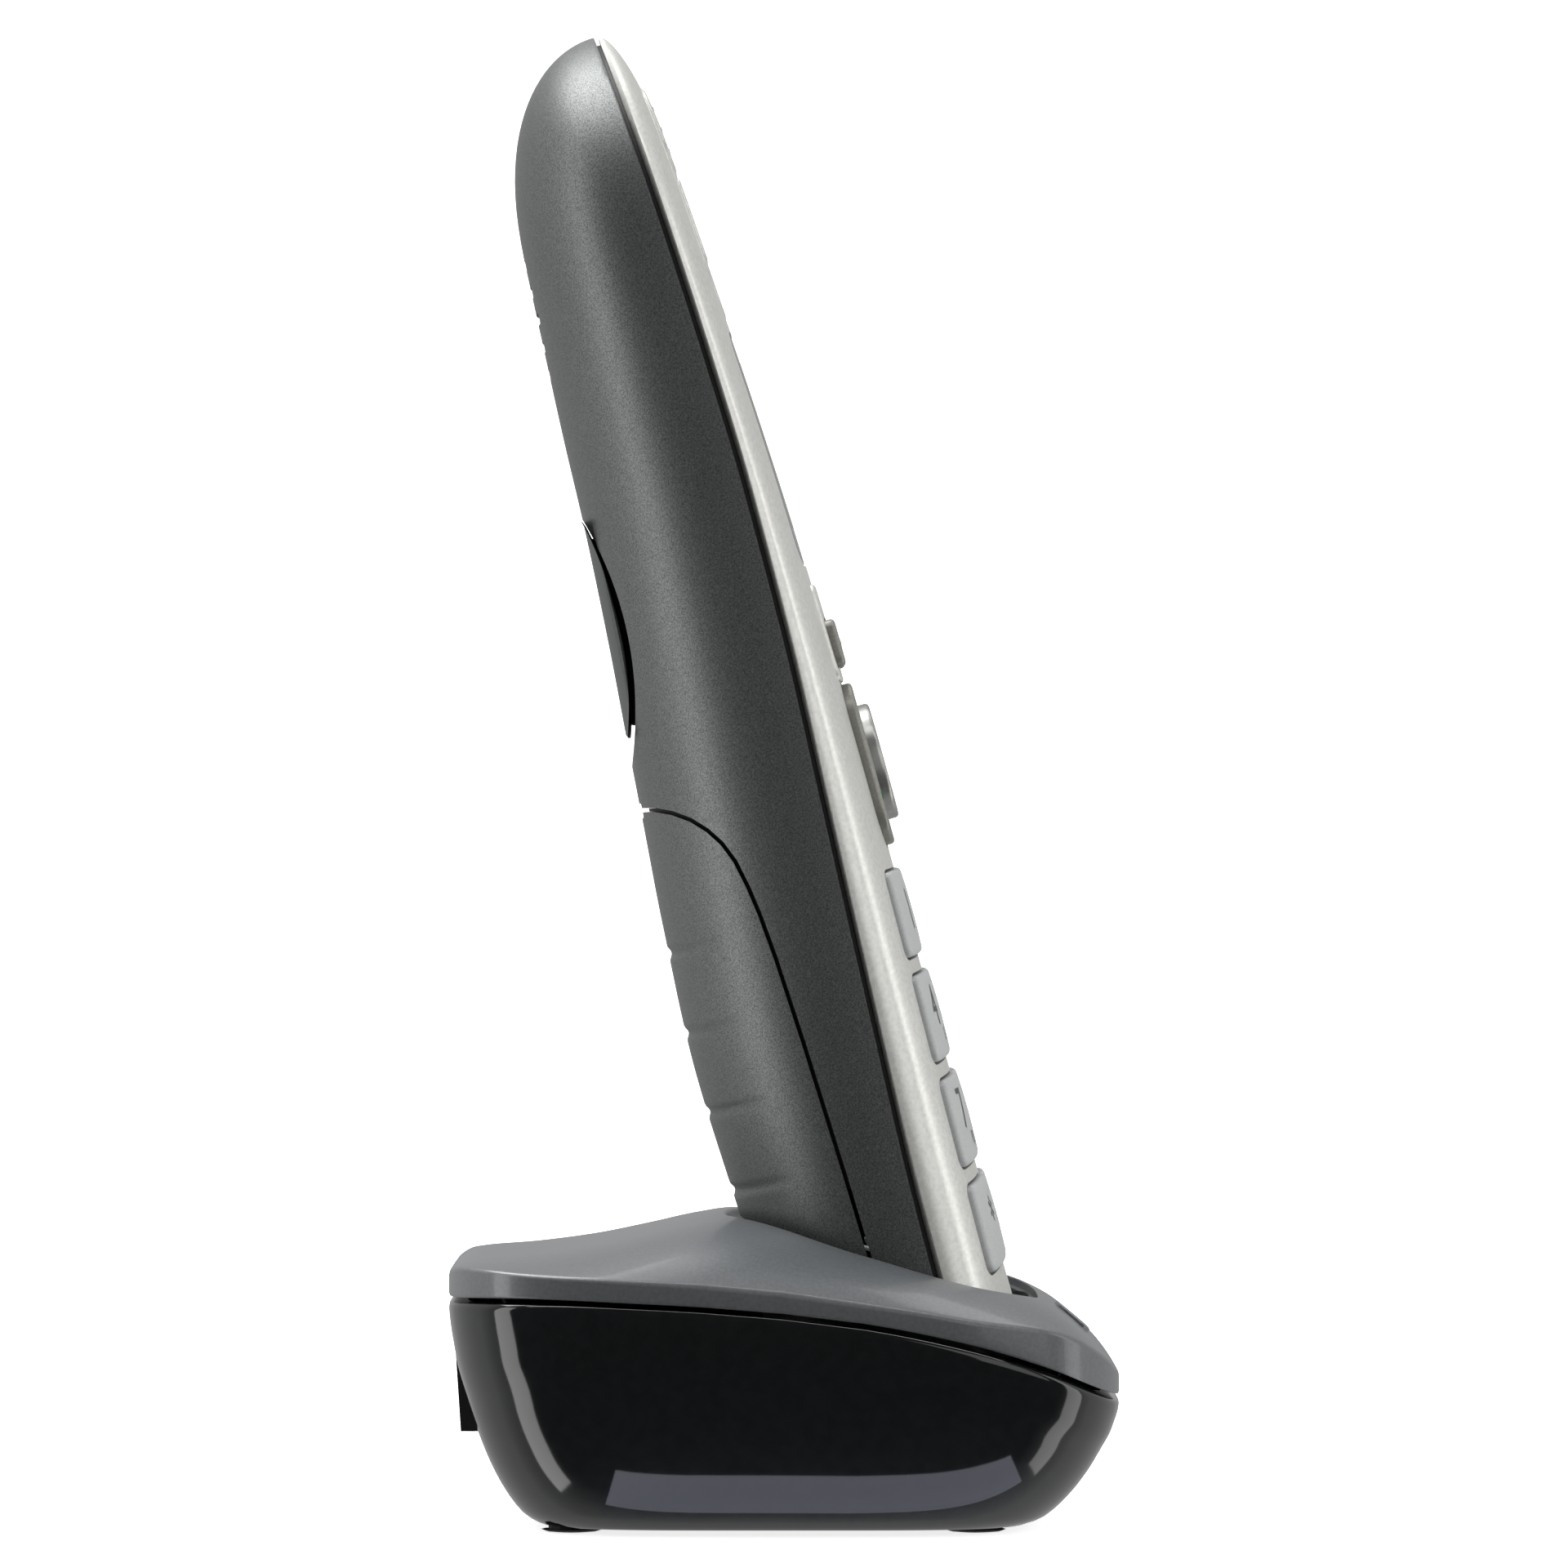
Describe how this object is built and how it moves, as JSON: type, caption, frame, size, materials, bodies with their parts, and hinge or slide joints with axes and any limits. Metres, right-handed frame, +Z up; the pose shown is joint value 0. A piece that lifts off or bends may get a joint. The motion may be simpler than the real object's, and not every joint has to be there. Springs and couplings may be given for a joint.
{
  "type": "cordless phone with base",
  "caption": "Slim cordless telephone handset with keypad, display and belt clip, leaning in a small desk charging base.",
  "frame": {"origin": "on the desk under the middle of the base", "axes": "+Z up, -Y the way the keypad faces, +X to the right of someone facing the keypad"},
  "size_m": [0.07, 0.072, 0.1606],
  "materials": {
    "silver_shell": "satin silver paint",
    "grey_shell": "dark grey metallic paint",
    "key_grey": "satin light grey",
    "cover_grey": "satin grey",
    "base_dark": "polished dark grey",
    "black_plastic": "matte",
    "foot_rubber": "matte",
    "silicone": "matte",
    "chrome_ring": "polished",
    "lens": "polished clear window",
    "display": "display glass",
    "board": "solder mask",
    "steel": "plated",
    "gold": "plated",
    "cell_wrap": "printed wrap"
  },
  "bodies": {
    "base": {"top_cover": "cover_grey", "lower_housing": "base_dark", "lead_socket": "black_plastic", "socket_contact": "gold", "base_board": "board", "contact_block": "black_plastic", "rubber_foot_1": "foot_rubber", "rubber_foot_2": "foot_rubber", "rubber_foot_3": "foot_rubber", "rubber_foot_4": "foot_rubber", "base_screw_1": "steel", "base_screw_2": "steel", "base_screw_3": "steel", "base_screw_4": "steel"},
    "page_key": {"page_key": "key_grey"},
    "charge_pin_left": {"charge_pin_left": "gold"},
    "charge_pin_right": {"charge_pin_right": "gold"},
    "handset": {"front_shell": "silver_shell", "back_shell": "grey_shell", "display_lens": "lens", "display_panel": "display", "earpiece_trim": "silver_shell", "earpiece_receiver": "black_plastic", "handsfree_speaker": "black_plastic", "microphone": "steel", "antenna": "steel", "main_board": "board", "keypad_mat": "silicone", "battery_tray": "black_plastic", "battery_cell_left": "cell_wrap", "battery_cell_right": "cell_wrap", "battery_contact_lower": "steel", "battery_contact_upper": "steel", "charge_pad_left": "gold", "charge_pad_right": "gold", "chassis_screw_left": "steel", "chassis_screw_right": "steel"},
    "battery_cover": {"battery_cover": "grey_shell"},
    "belt_clip": {"belt_clip": "grey_shell"},
    "nav_plate": {"nav_plate": "black_plastic"},
    "nav_ring": {"nav_ring": "chrome_ring"},
    "ok_key": {"ok_key": "key_grey"},
    "key_1": {"key_1": "key_grey"},
    "key_2": {"key_2": "key_grey"},
    "key_3": {"key_3": "key_grey"},
    "key_4": {"key_4": "key_grey"},
    "key_5": {"key_5": "key_grey"},
    "key_6": {"key_6": "key_grey"},
    "key_7": {"key_7": "key_grey"},
    "key_8": {"key_8": "key_grey"},
    "key_9": {"key_9": "key_grey"},
    "key_star": {"key_star": "key_grey"},
    "key_0": {"key_0": "key_grey"},
    "key_hash": {"key_hash": "key_grey"},
    "soft_key_left": {"soft_key_left": "key_grey"},
    "soft_key_right": {"soft_key_right": "key_grey"},
    "call_key_left": {"call_key_left": "key_grey"},
    "call_key_right": {"call_key_right": "key_grey"}
  },
  "joints": [
    {"name": "handset_lift", "type": "slide", "parent": "base", "child": "handset", "axis": [0, 0.2672, 0.9636], "range_m": [0, 0.05]},
    {"name": "battery_cover_swing", "type": "hinge", "parent": "handset", "child": "battery_cover", "pos_m": [0, 0.00248, 0.02703], "axis": [-1, 0, 0], "range_deg": [0, 3.5]},
    {"name": "belt_clip_flex", "type": "hinge", "parent": "handset", "child": "belt_clip", "pos_m": [0, 0.02104, 0.10781], "axis": [1, 0, 0], "range_deg": [0, 8], "stiffness_Nm_per_rad": 1.5},
    {"name": "nav_rock_side", "type": "hinge", "parent": "handset", "child": "nav_plate", "pos_m": [0, -0.00586, 0.08097], "axis": [0, 0.2672, 0.9636], "range_deg": [-2, 2], "stiffness_Nm_per_rad": 0.3},
    {"name": "nav_rock_up", "type": "hinge", "parent": "nav_plate", "child": "nav_ring", "pos_m": [0, -0.00586, 0.08097], "axis": [1, 0, 0], "range_deg": [-2, 2], "stiffness_Nm_per_rad": 0.3},
    {"name": "key_1_press", "type": "slide", "parent": "handset", "child": "key_1", "axis": [0, 0.9636, -0.2672], "range_m": [0, 0.0005], "stiffness_N_per_m": 600},
    {"name": "key_2_press", "type": "slide", "parent": "handset", "child": "key_2", "axis": [0, 0.9636, -0.2672], "range_m": [0, 0.0005], "stiffness_N_per_m": 600},
    {"name": "key_3_press", "type": "slide", "parent": "handset", "child": "key_3", "axis": [0, 0.9636, -0.2672], "range_m": [0, 0.0005], "stiffness_N_per_m": 600},
    {"name": "key_4_press", "type": "slide", "parent": "handset", "child": "key_4", "axis": [0, 0.9636, -0.2672], "range_m": [0, 0.0005], "stiffness_N_per_m": 600},
    {"name": "key_5_press", "type": "slide", "parent": "handset", "child": "key_5", "axis": [0, 0.9636, -0.2672], "range_m": [0, 0.0005], "stiffness_N_per_m": 600},
    {"name": "key_6_press", "type": "slide", "parent": "handset", "child": "key_6", "axis": [0, 0.9636, -0.2672], "range_m": [0, 0.0005], "stiffness_N_per_m": 600},
    {"name": "key_7_press", "type": "slide", "parent": "handset", "child": "key_7", "axis": [0, 0.9636, -0.2672], "range_m": [0, 0.0005], "stiffness_N_per_m": 600},
    {"name": "key_8_press", "type": "slide", "parent": "handset", "child": "key_8", "axis": [0, 0.9636, -0.2672], "range_m": [0, 0.0005], "stiffness_N_per_m": 600},
    {"name": "key_9_press", "type": "slide", "parent": "handset", "child": "key_9", "axis": [0, 0.9636, -0.2672], "range_m": [0, 0.0005], "stiffness_N_per_m": 600},
    {"name": "key_star_press", "type": "slide", "parent": "handset", "child": "key_star", "axis": [0, 0.9636, -0.2672], "range_m": [0, 0.0005], "stiffness_N_per_m": 600},
    {"name": "key_0_press", "type": "slide", "parent": "handset", "child": "key_0", "axis": [0, 0.9636, -0.2672], "range_m": [0, 0.0005], "stiffness_N_per_m": 600},
    {"name": "key_hash_press", "type": "slide", "parent": "handset", "child": "key_hash", "axis": [0, 0.9636, -0.2672], "range_m": [0, 0.0005], "stiffness_N_per_m": 600},
    {"name": "ok_key_press", "type": "slide", "parent": "handset", "child": "ok_key", "axis": [0, 0.9636, -0.2672], "range_m": [0, 0.0004], "stiffness_N_per_m": 600},
    {"name": "soft_key_left_press", "type": "slide", "parent": "handset", "child": "soft_key_left", "axis": [0, 0.9636, -0.2672], "range_m": [0, 0.00035], "stiffness_N_per_m": 600},
    {"name": "soft_key_right_press", "type": "slide", "parent": "handset", "child": "soft_key_right", "axis": [0, 0.9636, -0.2672], "range_m": [0, 0.00035], "stiffness_N_per_m": 600},
    {"name": "call_key_left_press", "type": "slide", "parent": "handset", "child": "call_key_left", "axis": [0, 0.9636, -0.2672], "range_m": [0, 0.00035], "stiffness_N_per_m": 600},
    {"name": "call_key_right_press", "type": "slide", "parent": "handset", "child": "call_key_right", "axis": [0, 0.9636, -0.2672], "range_m": [0, 0.00035], "stiffness_N_per_m": 600},
    {"name": "page_key_press", "type": "slide", "parent": "base", "child": "page_key", "axis": [0, 0.6428, -0.766], "range_m": [0, 0.0005], "stiffness_N_per_m": 600},
    {"name": "charge_pin_left_press", "type": "slide", "parent": "base", "child": "charge_pin_left", "axis": [0, -0.2672, -0.9636], "range_m": [0, 0.0008], "stiffness_N_per_m": 400},
    {"name": "charge_pin_right_press", "type": "slide", "parent": "base", "child": "charge_pin_right", "axis": [0, -0.2672, -0.9636], "range_m": [0, 0.0008], "stiffness_N_per_m": 400}
  ]
}
